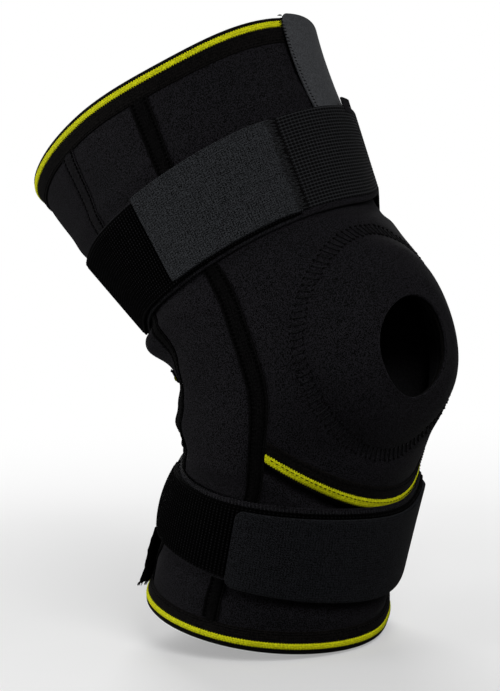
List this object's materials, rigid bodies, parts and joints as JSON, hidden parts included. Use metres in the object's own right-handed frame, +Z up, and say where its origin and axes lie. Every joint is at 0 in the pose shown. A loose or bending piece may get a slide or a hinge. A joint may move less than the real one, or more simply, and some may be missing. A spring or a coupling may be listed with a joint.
{
  "type": "knee brace",
  "caption": "Hinged open-patella knee brace: a pre-bent neoprene sleeve with bound edges, two hook-and-loop straps and a geared side hinge in a pocket on each side.",
  "frame": {"origin": "midway between the two side hinges, on the axis across the knee joint", "axes": "+X across the knee from its outer to its inner side, -Y to the front, +Z up, with the knee bent as in the picture: thigh leaning back 35 degrees, calf 20 degrees"},
  "size_m": [0.1588, 0.2305, 0.3083],
  "materials": {
    "neoprene": "matte knit-faced neoprene with a fine grain",
    "binding": "matte woven elastic binding and seam tape",
    "stripe": "bright yellow-green yarn woven into the binding",
    "strap_elastic": "ribbed elastic webbing",
    "loop": "napped loop pile",
    "hook_tab": "grey-black tab with a fine lengthwise grain, hooks on its underside",
    "patch": "smooth grey patch, bare",
    "liner": "soft knit lining",
    "foam": "closed-cell foam ring",
    "alloy": "satin stamped bar",
    "steel": "brushed plates and rivets",
    "nylon": "natural nylon washers"
  },
  "bodies": {
    "thigh": {"thigh_front_panel": "neoprene", "thigh_rear_panel": "neoprene", "thigh_lateral_pocket": "neoprene", "thigh_medial_pocket": "neoprene", "thigh_lateral_liner": "liner", "thigh_medial_liner": "liner", "thigh_hem": "binding", "thigh_hem_stripe": "stripe", "thigh_seam_tapes": "binding", "front_patch": "patch", "upper_strap_band": "strap_elastic", "upper_strap_pad": "loop", "lateral_upper_arm": "alloy", "medial_upper_arm": "alloy"},
    "upper_tab": {"upper_strap_tab": "hook_tab"},
    "knee": {"knee_front_panel": "neoprene", "kneecap_buttress": "foam", "kneecap_binding": "binding", "knee_lateral_pocket": "neoprene", "knee_medial_pocket": "neoprene", "knee_lateral_liner": "liner", "knee_medial_liner": "liner", "knee_seam_tapes": "binding", "mid_hem": "binding", "mid_hem_stripe": "stripe", "rear_upper_panel": "neoprene", "rear_lower_panel": "neoprene", "rear_upper_hem": "binding", "rear_lower_hem": "binding", "rear_hem_stripes": "stripe", "lateral_outer_plate": "steel", "lateral_inner_plate": "steel", "medial_outer_plate": "steel", "medial_inner_plate": "steel", "lateral_rivets": "steel", "medial_rivets": "steel", "lateral_washers": "nylon", "medial_washers": "nylon"},
    "calf": {"calf_front_panel": "neoprene", "calf_rear_panel": "neoprene", "calf_lateral_pocket": "neoprene", "calf_medial_pocket": "neoprene", "calf_lateral_liner": "liner", "calf_medial_liner": "liner", "calf_hem": "binding", "calf_hem_stripe": "stripe", "calf_seam_tapes": "binding", "lower_strap_band": "strap_elastic", "lower_strap_pad": "loop", "calf_rear_patch": "loop", "lateral_lower_arm": "alloy", "medial_lower_arm": "alloy"},
    "lower_tab": {"lower_strap_tab": "hook_tab"}
  },
  "joints": [
    {"name": "knee_upper", "type": "hinge", "parent": "thigh", "child": "knee", "pos_m": [0, 0.00117, 0.00892], "axis": [1, 0, 0], "range_deg": [-27.5, 20], "stiffness_Nm_per_rad": 1.5, "deforming": ["knee_front_panel", "kneecap_buttress", "kneecap_binding", "knee_lateral_pocket", "knee_medial_pocket", "knee_lateral_liner", "knee_medial_liner", "knee_seam_tapes", "mid_hem", "mid_hem_stripe", "rear_upper_panel", "rear_lower_panel", "rear_upper_hem", "rear_lower_hem", "rear_hem_stripes"]},
    {"name": "knee_lower", "type": "hinge", "parent": "knee", "child": "calf", "pos_m": [0, -0.00117, -0.00892], "axis": [1, 0, 0], "range_deg": [-27.5, 20], "stiffness_Nm_per_rad": 1.5},
    {"name": "upper_tab_peel", "type": "hinge", "parent": "thigh", "child": "upper_tab", "pos_m": [-0.03108, -0.01574, 0.10985], "axis": [0, 0.4325, 0.9016], "range_deg": [0, 80]},
    {"name": "lower_tab_peel", "type": "hinge", "parent": "calf", "child": "lower_tab", "pos_m": [0.05357, -0.02138, -0.08623], "axis": [-0.0009, -0.2278, 0.9737], "range_deg": [0, 60]}
  ],
  "couplings": [
    {"joint": "knee_lower", "follows": "knee_upper", "ratio": 1}
  ]
}
